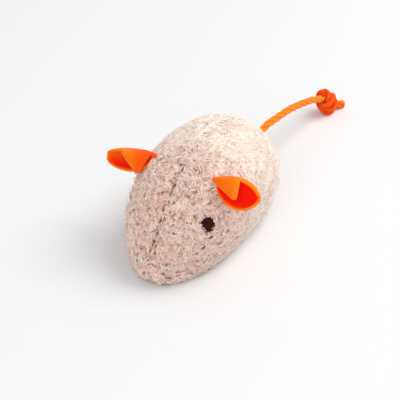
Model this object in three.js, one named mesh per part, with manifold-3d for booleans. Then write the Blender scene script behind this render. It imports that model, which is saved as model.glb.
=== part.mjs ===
// Catnip mouse: a stuffed plush body with felt ears, stitched eyes and a knotted rope tail.
// Millimetres, +Z up. The snout points to -Y and the tail to +Y, and +X is the mouse's own left.
// The origin is on the floor, under the middle of the body.
import * as THREE from "three";
import { mergeVertices } from "three/addons/utils/BufferGeometryUtils.js";
import Module from "manifold-3d";

const wasm = await Module();
wasm.setup();

// Body
const BODY_LENGTH = 78;
const BODY_WIDTH = 49.4;
const BODY_HEIGHT = 45;
const WIDEST_Y = 6;
const HIGHEST_Y = 2;
const SNOUT_HEIGHT = 9; // upright edge of the centre seam at the tip of the snout
const RUMP_HEIGHT = 20; // the same at the rump
const TIP_WIDTH = 3;
const CHIN = { length: 8, rise: 3.5 }; // the end rounds up from the floor over this length
const HAUNCH = { length: 12, rise: 8 };
const WIDEST_LEVEL = 0.52; // share of its height at which a cross-section is widest
const FOOTPRINT = 0.62; // share of its width that lies flat on the floor
const SNOUT_PLAN = { flatness: 2.4, roundness: 1.75 };
const RUMP_PLAN = { flatness: 3, roundness: 2.5 };
const SNOUT_PROFILE = { flatness: 1.7, roundness: 1.35 };
const RUMP_PROFILE = { flatness: 3.4, roundness: 2.4 };

// Plush fabric, seams and thread
const PLUSH = 2.6; // backing and flattened pile
const TURNED_EDGE = 1.2; // backing alone, where an edge is turned in
const SEAM_ALLOWANCE = 5;
const SEAM_DIP = 1.1;
const SEAM_SPREAD = 1.8;
const DART_Y = -12.2;
const DART_ANGLE = 42; // where the dart starts, up from the widest level
const DART_DIP = 1;
const DART_SPREAD = 1.3;
const THREAD = 0.6;
const STITCH_WIDTH = 3.6;
const STITCH_LENGTH = 7;
const CLEARANCE = 0.3;

// Ears: the seam of each lies between two angles, taken up from the widest level at the dart
const FELT = 1.2;
const EAR_INNER_ANGLE = 56;
const EAR_OUTER_ANGLE = 49;
const EAR_STANDOFF = 1.2; // from the plush to the edge of the free felt
const EAR_BEND_GAP = 0.9; // between the sewn felt and the free felt
const EAR_CUP_AIM = [0.25, 1, 0.1];
const EAR_FOLD = [0, -2.4, 1.2]; // the flap swells forwards and up before it hangs down
const EAR_FLAP_POINT = 0.08; // share of its width that is left at the flap's rounded tip
// A petal lies between two curves that meet at its tip, with two handles each. All places are
// from the inner end of the ear's seam: outwards, back and up.
const LEFT_EAR = {
  side: 1, cup: 5, tip: [19.4, 1.7, -3.1],
  top: [[7.6, 1.2, 5.1], [18.9, 3.4, 4.4]], low: [[5.1, -4, -6.1], [18.4, -3, -10.1]],
  flapTip: [11.7, -4, -2.1], flapEnd: 0.46,
};
const RIGHT_EAR = {
  side: -1, cup: 5, tip: [20.7, -1.8, -4.8],
  top: [[6.8, -0.2, 2.3], [19.8, -0.6, 1.3]], low: [[5.8, -5, -6], [19.3, -4.5, -11.2]],
  flapTip: [3.2, -6, -4], flapEnd: 0.5,
};

// Eyes
const EYE_WIDTH = 5.6;
const LEFT_EYE = { side: 1, y: -22.3, angle: 28.6 };
const RIGHT_EYE = { side: -1, y: -20.8, angle: 21 };
const EYE_SEAT = 0.9;
const EYE_RISE = 0.7;

// Filling
const POUCH = { width: 25, length: 34, height: 17, y: 3 };

// Tail
const ROPE = 3.4;
const ROPE_SUNK = 12; // length held inside the rump
const ROPE_TAPER = 1.4; // each end at a bend narrows over this length
const ROPE_POINT = 0.15; // share of its thickness that is left there
const TAIL_EXIT = { behind: 2, height: 15.5 }; // first bend, from the end of the rump
// The rope's middle line from the first bend to the knot, measured from that bend
const TAIL_ROUTE = [
  [0, 0, 0], [0.1, 4, 2.6], [0.2, 8, 4.7], [0.35, 12, 6.1], [0.5, 16.5, 6.6], [0.65, 21.5, 6.1],
  [0.8, 26.5, 5.5], [1, 32, 4.9], [1.15, 37.5, 4.1], [1.3, 43, 2.8], [1.5, 48.5, 1.4], [1.65, 54, -0.2],
  [1.8, 59.5, -2], [1.95, 65, -4.2], [2.1, 70, -6.4],
];
const LIFT_AT = 10; // along the route, where the tail bends up and down
const KNOT_SPACING = 3.1; // between the middles of neighbouring strands
const KNOT_ROPE = 2.5; // the rope is drawn thinner where it is pulled tight
const KNOT_TILT = [-0.3, 0.1, 0.95]; // the way its long side stands
const STUB = 4.5;
const STUB_BEND = [4.3, 0.4, 3.3]; // it lies along the floor, not into it
// One half of an overhand knot in strand spacings: along the tail, across it and up. The other
// half is the same after half a turn about the last axis.
const KNOT_HALF = [
  [0, 0, -1.15], [-0.14, 1.1, -0.85], [-0.3, 1.52, 0.1], [-0.5, 1, 0.98], [-0.85, 0.1, 1.22],
  [-1.25, -0.6, 0.9], [-1.42, -0.8, 0.25], [-1, -0.66, -0.2], [-0.3, -0.52, -0.1], [0.7, -0.5, 0],
  [1.5, -0.5, 0],
];

// Facets
const LOWER_ANGLES = [0, 30, 60];
const UPPER_ANGLES = [0, 18, 36, 52, 66, 77, 84.5, 90];
const BODY_ROWS = 18;
const ROPE_SIDES = 8;
const KNOT_STEPS = 64;
const EYE_SIDES = 16;
const EAR_FACETS = { rows: 14, columns: 9 };
const FLAP_FACETS = { rows: 9, columns: 6 };

const vec = (x, y, z) => new THREE.Vector3(x, y, z);
const rad = THREE.MathUtils.degToRad;
const smooth = THREE.MathUtils.smoothstep;
const lerp = THREE.MathUtils.lerp;

// Solids from closed triangle meshes, and back
function solidOf(geometry) {
  const bare = geometry.clone();
  bare.deleteAttribute("normal");
  bare.deleteAttribute("uv");
  const merged = mergeVertices(bare, 1e-4);
  const vertProperties = Float32Array.from(merged.attributes.position.array);
  const triVerts = Uint32Array.from(merged.index.array);
  return new wasm.Manifold(new wasm.Mesh({ numProp: 3, vertProperties, triVerts }));
}

function geometryOf(solid) {
  const mesh = solid.getMesh();
  return closedGeometry(Array.from(mesh.vertProperties), Array.from(mesh.triVerts));
}

function closedGeometry(positions, triangles) {
  const geometry = new THREE.BufferGeometry();
  geometry.setAttribute("position", new THREE.Float32BufferAttribute(positions, 3));
  geometry.setIndex(triangles);
  geometry.computeVertexNormals();
  return geometry;
}

function boxSolid(low, high) {
  const size = vec(...high).sub(vec(...low));
  const middle = vec(...high).add(vec(...low)).multiplyScalar(0.5);
  const geometry = new THREE.BoxGeometry(size.x, size.y, size.z);
  return solidOf(geometry.translate(middle.x, middle.y, middle.z));
}

// Faces point out when the signed volume is positive
function facingOut(points, triangles) {
  let volume = 0;
  for (let i = 0; i < triangles.length; i += 3) {
    const [a, b, c] = [points[triangles[i]], points[triangles[i + 1]], points[triangles[i + 2]]];
    volume += a.dot(b.clone().cross(c));
  }
  const ordered = volume < 0 ? triangles.toReversed() : triangles;
  return closedGeometry(points.flatMap((p) => p.toArray()), ordered);
}

// A skin over rings of equal counts, closed by a fan at each end
function loft(rings) {
  const count = rings[0].length;
  const points = rings.flat();
  const triangles = [];
  for (let row = 0; row + 1 < rings.length; row++) {
    for (let i = 0; i < count; i++) {
      const [a, b] = [row * count + i, row * count + ((i + 1) % count)];
      triangles.push(a, b, b + count, a, b + count, a + count);
    }
  }
  for (const [row, flip] of [[0, true], [rings.length - 1, false]]) {
    const middle = points.length;
    const sum = rings[row].reduce((total, p) => total.add(p), vec(0, 0, 0));
    points.push(sum.divideScalar(count));
    for (let i = 0; i < count; i++) {
      const [a, b] = [row * count + i, row * count + ((i + 1) % count)];
      triangles.push(...(flip ? [middle, b, a] : [middle, a, b]));
    }
  }
  return facingOut(points, triangles);
}

// A round tube along a curve, whose radius may change along it
function tube(curve, steps, sides, radiusAt) {
  const frames = curve.computeFrenetFrames(steps, false);
  const rings = [];
  for (let step = 0; step <= steps; step++) {
    const middle = curve.getPointAt(step / steps);
    const radius = radiusAt(step / steps);
    rings.push(Array.from({ length: sides }, (_, i) => {
      const turn = (2 * Math.PI * i) / sides;
      return middle.clone()
        .addScaledVector(frames.normals[step], radius * Math.cos(turn))
        .addScaledVector(frames.binormals[step], radius * Math.sin(turn));
    }));
  }
  return loft(rings);
}

// Body form
function fullness(share, { flatness, roundness }) {
  return (1 - share ** flatness) ** (1 / roundness);
}

function along(y, peak, front, back) {
  const ahead = y < peak;
  const reach = ahead ? peak + BODY_LENGTH / 2 : BODY_LENGTH / 2 - peak;
  return fullness(Math.min(1, Math.abs(y - peak) / reach), ahead ? front : back);
}

function halfWidthAt(y) {
  return lerp(TIP_WIDTH / 2, BODY_WIDTH / 2, along(y, WIDEST_Y, SNOUT_PLAN, RUMP_PLAN));
}

function topAt(y) {
  const end = y < HIGHEST_Y ? SNOUT_HEIGHT : RUMP_HEIGHT;
  return lerp(end, BODY_HEIGHT, along(y, HIGHEST_Y, SNOUT_PROFILE, RUMP_PROFILE));
}

function floorAt(y) {
  const { length, rise } = y < 0 ? CHIN : HAUNCH;
  const into = Math.max(0, Math.abs(y) - BODY_LENGTH / 2 + length) / length;
  return rise * (1 - Math.sqrt(1 - Math.min(1, into) ** 2));
}

function levelAt(y) {
  return lerp(floorAt(y), topAt(y), WIDEST_LEVEL);
}

// A point on the +X side above the widest level, moved out along the section by an offset
function sidePoint(y, angle, offset = 0) {
  const width = halfWidthAt(y);
  const rise = topAt(y) - levelAt(y);
  const [c, s] = [Math.cos(rad(angle)), Math.sin(rad(angle))];
  const out = new THREE.Vector2(rise * c, width * s).normalize();
  return vec(width * c + offset * out.x, y, levelAt(y) + rise * s + offset * out.y);
}

function sideNormal(y, angle) {
  const step = 0.5;
  const forward = sidePoint(y + step, angle).sub(sidePoint(y - step, angle));
  const upward = sidePoint(y, angle + step).sub(sidePoint(y, angle - step));
  return forward.cross(upward).normalize();
}

// How far a point of the lower side stands out at a height above the floor
function lowerReach(y, height) {
  const share = (height - floorAt(y)) / (levelAt(y) - floorAt(y));
  const turn = Math.acos(THREE.MathUtils.clamp(1 - share, 0, 1));
  return halfWidthAt(y) * lerp(FOOTPRINT, 1, Math.sin(turn));
}

function halfSection(y) {
  const lower = LOWER_ANGLES.map((angle) => {
    const height = lerp(levelAt(y), floorAt(y), Math.cos(rad(angle)));
    return vec(lowerReach(y, height), y, height);
  });
  const dart = DART_DIP * Math.exp(-(((y - DART_Y) / DART_SPREAD) ** 2));
  const upper = UPPER_ANGLES.map((angle) => {
    const point = sidePoint(y, angle, -dart * smooth(angle, DART_ANGLE / 2, DART_ANGLE));
    point.z -= SEAM_DIP * Math.exp(-((point.x / SEAM_SPREAD) ** 2));
    return point;
  });
  return [vec(0, y, floorAt(y)), ...lower, ...upper];
}

function bodyForm() {
  const besideDart = 1.6;
  const stations = [DART_Y - besideDart, DART_Y, DART_Y + besideDart];
  for (let row = 0; row <= BODY_ROWS; row++) {
    const y = (-BODY_LENGTH / 2) * Math.cos((Math.PI * row) / BODY_ROWS);
    if (Math.abs(y - DART_Y) > 2 * besideDart) stations.push(y);
  }
  stations.sort((a, b) => a - b);
  return loft(stations.map((y) => {
    const half = halfSection(y);
    const mirrored = half.slice(1, -1).reverse().map((p) => vec(-p.x, p.y, p.z));
    return [...half, ...mirrored];
  }));
}

// The same form drawn in at its sides and at its top, still open to the floor
function drawnIn(inset) {
  const share = [1 - (2 * inset) / BODY_WIDTH, 1 - (2 * inset) / BODY_LENGTH, 1 - inset / BODY_HEIGHT];
  return solidOf(bodyForm().scale(...share));
}

const FAR = 2 * (BODY_LENGTH + BODY_WIDTH + BODY_HEIGHT);
const OVERLAP = 0.05; // joins a turned edge to the panel that it belongs to
const FACET_SAG = 0.4; // a facet of the form lies up to this far inside its curve
const BASE_TOP = PLUSH;
const LIP_TOP = BASE_TOP + CLEARANCE + TURNED_EDGE;
const EDGE_DEPTH = PLUSH + SEAM_ALLOWANCE;
const THREAD_DEPTH = EDGE_DEPTH + FACET_SAG + CLEARANCE + THREAD / 2;
const HOLLOW_DEPTH = THREAD_DEPTH + THREAD / 2 + CLEARANCE + FACET_SAG;
const SLOT_HALF = FELT / 2 + CLEARANCE;
const DART_HALF = SLOT_HALF + TURNED_EDGE;
const EAR_BASE = { from: EAR_OUTER_ANGLE, to: EAR_INNER_ANGLE };
const DART_ARC = { from: DART_ANGLE, to: 88 }; // up to the centre seam

// A flat plate in the plane of the dart, between two depths of the +X side
function dartPlate({ from, to }, outer, inner, thickness, spare = 0) {
  const facet = 6;
  const steps = Math.ceil((to - from) / facet);
  const pad = THREE.MathUtils.radToDeg(spare / sidePoint(DART_Y, from).x);
  const edge = (offset) => Array.from({ length: steps + 1 }, (_, i) => {
    const point = sidePoint(DART_Y, lerp(from - pad, Math.min(90, to + pad), i / steps), offset);
    return new THREE.Vector2(point.x, point.z);
  });
  const shape = new THREE.Shape([...edge(outer), ...edge(-inner).reverse()]);
  const plate = new THREE.ExtrudeGeometry(shape, { depth: thickness, bevelEnabled: false });
  return plate.rotateX(Math.PI / 2).translate(0, DART_Y + thickness / 2, 0);
}

function mirroredX(geometry) {
  const flipped = geometry.clone().scale(-1, 1, 1);
  const position = flipped.attributes.position;
  const order = flipped.index ? Array.from(flipped.index.array) : [...Array(position.count).keys()];
  return closedGeometry(Array.from(position.array), order.toReversed());
}

const onSide = (geometry, side) => (side > 0 ? geometry : mirroredX(geometry));

// Rope of the tail
const tailExit = vec(0, BODY_LENGTH / 2 + TAIL_EXIT.behind, TAIL_EXIT.height);
const routePoints = TAIL_ROUTE.map((p) => vec(...p).add(tailExit));
const route = new THREE.CatmullRomCurve3(routePoints, false, "centripetal");
const rootAim = route.getTangentAt(0);

function bendTaper(length, narrowStart, narrowEnd) {
  return (place) => {
    const fromStart = narrowStart ? place * length : Infinity;
    const fromEnd = narrowEnd ? (1 - place) * length : Infinity;
    const share = Math.min(1, Math.min(fromStart, fromEnd) / ROPE_TAPER);
    return (ROPE / 2) * lerp(ROPE_POINT, 1, share);
  };
}

function stretch(from, to, spacing) {
  const total = route.getLength();
  const count = Math.ceil((to - from) / spacing);
  const points = Array.from({ length: count + 1 }, (_, i) => {
    return route.getPointAt(lerp(from, to, i / count) / total);
  });
  return new THREE.CatmullRomCurve3(points, false, "centripetal");
}

function anchorRope() {
  const inner = tailExit.clone().addScaledVector(rootAim, -ROPE_SUNK);
  const outer = tailExit.clone().addScaledVector(rootAim, -CLEARANCE / 2);
  const line = new THREE.LineCurve3(inner, outer);
  const length = line.getLength();
  const steps = Math.round(length / (ROPE_TAPER / 2));
  return tube(line, steps, ROPE_SIDES, bendTaper(length, false, true));
}

function rootRope() {
  const curve = stretch(CLEARANCE / 2, LIFT_AT - CLEARANCE / 2, ROPE / 2);
  const length = curve.getLength();
  const steps = Math.round(length / (ROPE_TAPER / 2));
  return tube(curve, steps, ROPE_SIDES, bendTaper(length, true, true));
}

function freeRope() {
  const curve = stretch(LIFT_AT + CLEARANCE / 2, route.getLength(), ROPE);
  const length = curve.getLength();
  const steps = Math.round(length / ROPE_TAPER);
  return tube(curve, steps, ROPE_SIDES, bendTaper(length, true, false));
}

// Knot frame: along the tail, across it and up
const knotAlong = route.getTangentAt(1);
const knotAcross = vec(...KNOT_TILT).projectOnPlane(knotAlong).normalize();
const knotUp = knotAlong.clone().cross(knotAcross);
const knotHalf = KNOT_HALF.map((p) => vec(...p));
const knotStart = knotHalf[knotHalf.length - 1].clone().multiply(vec(-1, -1, 1));
const knotMiddle = route.getPointAt(1).addScaledVector(knotAlong, CLEARANCE).sub(inKnot(knotStart));

function inKnot(p) {
  return vec(0, 0, 0)
    .addScaledVector(knotAlong, p.x * KNOT_SPACING)
    .addScaledVector(knotAcross, p.y * KNOT_SPACING)
    .addScaledVector(knotUp, p.z * KNOT_SPACING);
}

function knotCurve() {
  const far = knotHalf.slice(1).map((p) => vec(-p.x, -p.y, p.z)).reverse();
  const points = [...far, ...knotHalf].map((p) => inKnot(p).add(knotMiddle));
  return new THREE.CatmullRomCurve3(points, false, "centripetal");
}

function leastSelfGap(curve, diameter) {
  const count = 300;
  const points = curve.getSpacedPoints(count);
  const spacing = curve.getLength() / count;
  let least = Infinity;
  for (let i = 0; i <= count; i++) {
    for (let j = i + Math.ceil((2 * diameter) / spacing); j <= count; j++) {
      least = Math.min(least, points[i].distanceTo(points[j]));
    }
  }
  return least - diameter;
}

function knotRope() {
  const curve = knotCurve();
  console.log("tail knot, least gap to itself:", leastSelfGap(curve, KNOT_ROPE).toFixed(2), "mm");
  return tube(curve, KNOT_STEPS, ROPE_SIDES, () => KNOT_ROPE / 2);
}

function stubRope() {
  const curve = knotCurve();
  const aim = curve.getTangentAt(1);
  const start = curve.getPointAt(1).addScaledVector(aim, CLEARANCE);
  const middle = start.clone().addScaledVector(aim, STUB / 4);
  const end = start.clone().addScaledVector(aim, STUB).add(vec(...STUB_BEND));
  const bend = new THREE.QuadraticBezierCurve3(start, middle, end);
  const steps = 5;
  return tube(bend, steps, ROPE_SIDES, (share) => lerp(KNOT_ROPE, ROPE, share) / 2);
}

// Panels
function ropeHole() {
  const inner = tailExit.clone().addScaledVector(rootAim, -ROPE_SUNK - CLEARANCE);
  const outer = tailExit.clone().addScaledVector(rootAim, ROPE);
  const radius = (ROPE / 2 + CLEARANCE) / Math.cos(Math.PI / ROPE_SIDES);
  return solidOf(tube(new THREE.LineCurve3(inner, outer), 1, ROPE_SIDES, () => radius));
}

function eyeFrame({ side, y, angle }) {
  const middle = sidePoint(y, angle);
  const normal = sideNormal(y, angle);
  middle.x *= side;
  normal.x *= side;
  return new THREE.Matrix4()
    .makeRotationFromQuaternion(new THREE.Quaternion().setFromUnitVectors(vec(0, 1, 0), normal))
    .setPosition(middle);
}

function eyeSeat(place) {
  const radius = EYE_WIDTH / 2 + CLEARANCE;
  const seat = new THREE.CylinderGeometry(radius, radius, EYE_SEAT + PLUSH, EYE_SIDES);
  return solidOf(seat.translate(0, (PLUSH - EYE_SEAT) / 2, 0).applyMatrix4(eyeFrame(place)));
}

const form = solidOf(bodyForm());
const cavity = drawnIn(PLUSH);
const turnedEdges = drawnIn(PLUSH - OVERLAP).subtract(drawnIn(EDGE_DEPTH));

function sidePanel(place) {
  const { side } = place;
  const seamHalf = CLEARANCE / 2;
  const sideOnly = boxSolid(...(side > 0 ? [[seamHalf, -FAR, BASE_TOP + CLEARANCE / 2], [FAR, FAR, FAR]]
    : [[-FAR, -FAR, BASE_TOP + CLEARANCE / 2], [-seamHalf, FAR, FAR]]));
  const edgeHalf = seamHalf + TURNED_EDGE;
  const seamEdge = turnedEdges.intersect(boxSolid([-edgeHalf, -FAR, -FAR], [edgeHalf, FAR, FAR]));
  const baseEdge = turnedEdges.intersect(boxSolid([-FAR, -FAR, -FAR], [FAR, FAR, LIP_TOP]));
  const dartEdge = solidOf(onSide(dartPlate(DART_ARC, 0, EDGE_DEPTH, 2 * DART_HALF), side))
    .intersect(drawnIn(PLUSH - OVERLAP));
  const slot = solidOf(onSide(dartPlate(EAR_BASE, PLUSH, HOLLOW_DEPTH, 2 * SLOT_HALF, CLEARANCE), side));
  return form.subtract(cavity)
    .add(seamEdge).add(baseEdge).add(dartEdge)
    .intersect(sideOnly)
    .subtract(slot).subtract(eyeSeat(place)).subtract(ropeHole());
}

function basePanel() {
  return form.intersect(boxSolid([-FAR, -FAR, -FAR], [FAR, FAR, BASE_TOP - CLEARANCE / 2]));
}

// Filling: fibre round a pouch of dried catnip that was pushed in from below
function pouchForm(spare) {
  const [seams, rows, cap] = [20, 8, 80];
  const half = vec(POUCH.width / 2 + spare, POUCH.length / 2 + spare, POUCH.height / 2 + spare);
  const middle = vec(0, POUCH.y, LIP_TOP + CLEARANCE + POUCH.height / 2);
  const plump = 0.62;
  const power = (x) => Math.sign(x) * Math.abs(x) ** plump;
  const rings = [];
  for (let row = 0; row <= rows; row++) {
    const lift = lerp(-cap, cap, row / rows);
    rings.push(Array.from({ length: seams }, (_, i) => {
      const turn = (2 * Math.PI * i) / seams;
      const wide = power(Math.cos(rad(lift)));
      return vec(wide * power(Math.cos(turn)), wide * power(Math.sin(turn)), power(Math.sin(rad(lift))))
        .multiply(half).add(middle);
    }));
  }
  return loft(rings);
}

function filling() {
  const seamHalf = STITCH_WIDTH / 2 + THREAD / 2 + CLEARANCE;
  const kept = drawnIn(HOLLOW_DEPTH);
  const seamSpace = boxSolid([-seamHalf, -FAR, -FAR], [seamHalf, FAR, FAR]).subtract(kept);
  const dartSpace = dartPlate(DART_ARC, PLUSH, HOLLOW_DEPTH, 2 * (DART_HALF + CLEARANCE), 2 * CLEARANCE);
  const pocket = solidOf(pouchForm(CLEARANCE));
  const way = pocket.add(solidOf(pouchForm(CLEARANCE).translate(0, 0, -POUCH.height / 2)));
  return drawnIn(PLUSH + CLEARANCE)
    .intersect(boxSolid([-FAR, -FAR, LIP_TOP + CLEARANCE], [FAR, FAR, FAR]))
    .subtract(seamSpace).subtract(solidOf(dartSpace)).subtract(solidOf(mirroredX(dartSpace)))
    .subtract(way).subtract(ropeHole());
}

// Overlock stitches: a thread that swings from side to side along a seam
class Stitches extends THREE.Curve {
  constructor(middle, across, width) {
    super();
    this.middle = middle;
    this.across = across;
    this.width = width;
    this.count = Math.round(middle.getLength() / STITCH_LENGTH);
  }

  getPoint(share, target = vec(0, 0, 0)) {
    const swing = (this.width / 2) * Math.sin(2 * Math.PI * this.count * share);
    const sideways = this.across(this.middle.getTangentAt(share));
    return target.copy(this.middle.getPointAt(share)).addScaledVector(sideways, swing);
  }
}

function stitched(middle, across, width) {
  const curve = new Stitches(middle, across, width);
  const [stepsEach, sides] = [6, 5];
  return tube(curve, curve.count * stepsEach, sides, () => THREAD / 2);
}

function topSeam() {
  const [rows, spare] = [24, 0.06];
  const shares = vec(0, 1 - (2 * THREAD_DEPTH) / BODY_LENGTH, 1 - THREAD_DEPTH / BODY_HEIGHT);
  const points = Array.from({ length: rows + 1 }, (_, row) => {
    const y = (-BODY_LENGTH / 2) * Math.cos(Math.PI * lerp(spare, 1 - spare, row / rows));
    return vec(0, y, topAt(y) - SEAM_DIP).multiply(shares);
  });
  const ridge = new THREE.CatmullRomCurve3(points, false, "centripetal");
  return stitched(ridge, () => vec(1, 0, 0), STITCH_WIDTH);
}

function baseSeam() {
  const [rows, spare] = [14, 0.12];
  const depth = THREAD_DEPTH + STITCH_WIDTH / 4;
  const height = BASE_TOP + CLEARANCE / 2 + THREAD / 2;
  const sideRow = (side) => Array.from({ length: rows + 1 }, (_, row) => {
    const y = (BODY_LENGTH / 2) * Math.cos(Math.PI * lerp(spare, 1 - spare, row / rows));
    const reach = lowerReach(y, height) * (1 - (2 * depth) / BODY_WIDTH);
    return vec(side * reach, y * (1 - (2 * depth) / BODY_LENGTH), height);
  });
  const points = [...sideRow(1), ...sideRow(-1).reverse()];
  const loop = new THREE.CatmullRomCurve3(points, false, "centripetal");
  return stitched(loop, (aim) => vec(-aim.y, aim.x, 0).normalize(), STITCH_WIDTH / 2);
}

function dartSeam(side) {
  const rows = 10;
  const nearSeam = 76;
  const points = Array.from({ length: rows + 1 }, (_, row) => {
    return sidePoint(DART_Y, lerp(DART_ANGLE, nearSeam, row / rows), -THREAD_DEPTH);
  });
  const edge = new THREE.CatmullRomCurve3(points, false, "centripetal");
  return onSide(stitched(edge, () => vec(0, 1, 0), STITCH_WIDTH), side);
}

// Ears: a felt petal, cupped towards the snout, whose front part is folded over from its upper edge
function earEdges(ear) {
  const inner = sidePoint(DART_Y, EAR_INNER_ANGLE, EAR_STANDOFF);
  const outer = sidePoint(DART_Y, EAR_OUTER_ANGLE, EAR_STANDOFF);
  const at = (place) => inner.clone().add(vec(...place));
  const edge = (start, handles) => new THREE.CubicBezierCurve3(start, ...handles.map(at), at(ear.tip));
  return { upper: edge(inner, ear.top), lower: edge(outer, ear.low), flapTip: at(ear.flapTip) };
}

function petalGrid(ear) {
  const { upper, lower } = earEdges(ear);
  const { rows, columns } = EAR_FACETS;
  const end = 0.92; // the two edges are joined by a short one just before they meet
  return Array.from({ length: rows + 1 }, (_, row) => {
    const along = end * (row / rows);
    const depth = ear.cup * Math.sin(Math.PI * (row / rows));
    return Array.from({ length: columns + 1 }, (__, column) => {
      const share = column / columns;
      return lower.getPoint(along).lerp(upper.getPoint(along), share)
        .addScaledVector(vec(...EAR_CUP_AIM), depth * 4 * share * (1 - share));
    });
  });
}

function flapGrid(ear) {
  const { upper, flapTip } = earEdges(ear);
  const { rows, columns } = FLAP_FACETS;
  const middle = upper.getPoint(ear.flapEnd / 2);
  return Array.from({ length: rows + 1 }, (_, row) => {
    const fold = upper.getPoint(ear.flapEnd * (row / rows));
    const swell = Math.sqrt(Math.max(0, Math.sin(Math.PI * (row / rows))));
    const over = fold.clone().addScaledVector(vec(...EAR_FOLD), swell);
    const end = flapTip.clone().addScaledVector(fold.clone().sub(middle), EAR_FLAP_POINT);
    const hanging = new THREE.QuadraticBezierCurve3(fold, over, end);
    return hanging.getPoints(columns);
  });
}

// A sheet of even thickness over a grid of points, whose first and last rows may be cut straight across
function sheet(grid, thickness, straightEnds) {
  const [rows, columns] = [grid.length, grid[0].length];
  const within = (index, count) => THREE.MathUtils.clamp(index, 0, count - 1);
  const at = (row, column) => grid[within(row, rows)][within(column, columns)];
  const normals = grid.map((line, row) => line.map((_, column) => {
    const down = at(row + 1, column).clone().sub(at(row - 1, column));
    const over = at(row, column + 1).clone().sub(at(row, column - 1));
    return down.cross(over).normalize();
  }));
  for (const line of straightEnds ? [normals[0], normals[rows - 1]] : []) {
    line.fill(line.reduce((sum, normal) => sum.add(normal), vec(0, 0, 0)).normalize());
  }
  const faces = [1, -1].map((face) => grid.flatMap((line, row) => line.map((point, column) => {
    return point.clone().addScaledVector(normals[row][column], (face * thickness) / 2);
  })));
  const id = (face, row, column) => face * rows * columns + row * columns + column;
  const triangles = [];
  const quad = (a, b, c, d) => triangles.push(a, b, c, a, c, d);
  for (let row = 0; row + 1 < rows; row++) {
    for (let column = 0; column + 1 < columns; column++) {
      quad(...[[0, 0], [1, 0], [1, 1], [0, 1]].map(([r, c]) => id(0, row + r, column + c)));
      quad(...[[0, 0], [0, 1], [1, 1], [1, 0]].map(([r, c]) => id(1, row + r, column + c)));
    }
    quad(id(0, row, 0), id(1, row, 0), id(1, row + 1, 0), id(0, row + 1, 0));
    const last = columns - 1;
    quad(id(0, row, last), id(0, row + 1, last), id(1, row + 1, last), id(1, row, last));
  }
  for (let column = 0; column + 1 < columns; column++) {
    quad(id(0, 0, column), id(0, 0, column + 1), id(1, 0, column + 1), id(1, 0, column));
    const last = rows - 1;
    quad(id(0, last, column), id(1, last, column), id(1, last, column + 1), id(0, last, column + 1));
  }
  return solidOf(facingOut(faces.flat(), triangles));
}

function earBlade(ear) {
  const blade = sheet(petalGrid(ear), FELT, true).add(sheet(flapGrid(ear), FELT, false));
  return onSide(geometryOf(blade), ear.side);
}

function earTab(side) {
  return onSide(dartPlate(EAR_BASE, EAR_STANDOFF - EAR_BEND_GAP, EDGE_DEPTH, FELT), side);
}

function eye(place) {
  const back = CLEARANCE - EYE_SEAT;
  const profile = [new THREE.Vector2(0, back), new THREE.Vector2(EYE_WIDTH / 2, back)];
  for (const angle of [0, 25, 50, 72]) {
    profile.push(new THREE.Vector2((EYE_WIDTH / 2) * Math.cos(rad(angle)), EYE_RISE * Math.sin(rad(angle))));
  }
  profile.push(new THREE.Vector2(0, EYE_RISE));
  return new THREE.LatheGeometry(profile, EYE_SIDES).applyMatrix4(eyeFrame(place));
}

// Materials by colour and roughness
const FINISH = {
  plush: { color: 0xdcc8b8, roughness: 0.95 },
  felt: { color: 0xf47a10, roughness: 0.9 },
  rope: { color: 0xee7d18, roughness: 0.85 },
  thread: { color: 0xd8c6b4, roughness: 0.6 },
  eye: { color: 0x2a1510, roughness: 0.5 },
  fibre: { color: 0xf4f2ee, roughness: 1 },
  catnip: { color: 0x6f7a48, roughness: 1 },
};

function piece(name, geometry, finish) {
  const mesh = new THREE.Mesh(geometry, new THREE.MeshStandardMaterial({ ...FINISH[finish], metalness: 0 }));
  mesh.name = name;
  return mesh;
}

function body() {
  const group = new THREE.Group();
  group.add(
    piece("left_body_panel", geometryOf(sidePanel(LEFT_EYE)), "plush"),
    piece("right_body_panel", geometryOf(sidePanel(RIGHT_EYE)), "plush"),
    piece("base_panel", geometryOf(basePanel()), "plush"),
    piece("fibre_filling", geometryOf(filling()), "fibre"),
    piece("catnip_pouch", pouchForm(0), "catnip"),
    piece("top_seam_thread", topSeam(), "thread"),
    piece("base_seam_thread", baseSeam(), "thread"),
  );
  for (const [name, place] of [["left", LEFT_EYE], ["right", RIGHT_EYE]]) {
    group.add(
      piece(`${name}_dart_thread`, dartSeam(place.side), "thread"),
      piece(`${name}_ear_tab`, earTab(place.side), "felt"),
      piece(`${name}_eye`, eye(place), "eye"),
    );
  }
  return group;
}

function ears() {
  const group = new THREE.Group();
  group.add(
    piece("left_ear", earBlade(LEFT_EAR), "felt"),
    piece("right_ear", earBlade(RIGHT_EAR), "felt"),
  );
  return group;
}

function tail() {
  const group = new THREE.Group();
  group.add(
    piece("tail_anchor", anchorRope(), "rope"),
    piece("tail_root", rootRope(), "rope"),
    piece("tail_cord", freeRope(), "rope"),
    piece("tail_knot", knotRope(), "rope"),
    piece("tail_tip", stubRope(), "rope"),
  );
  return group;
}

const mouse = new THREE.Group();
mouse.add(body(), ears(), tail());

export default mouse;
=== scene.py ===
# Catnip mouse: curly plush on a stuffed body, folded felt ears, stitched eyes and a knotted rope tail.
# Metres, +Z up. The snout points to -Y and the tail to +Y, and +X is the mouse's own left.
import math

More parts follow.
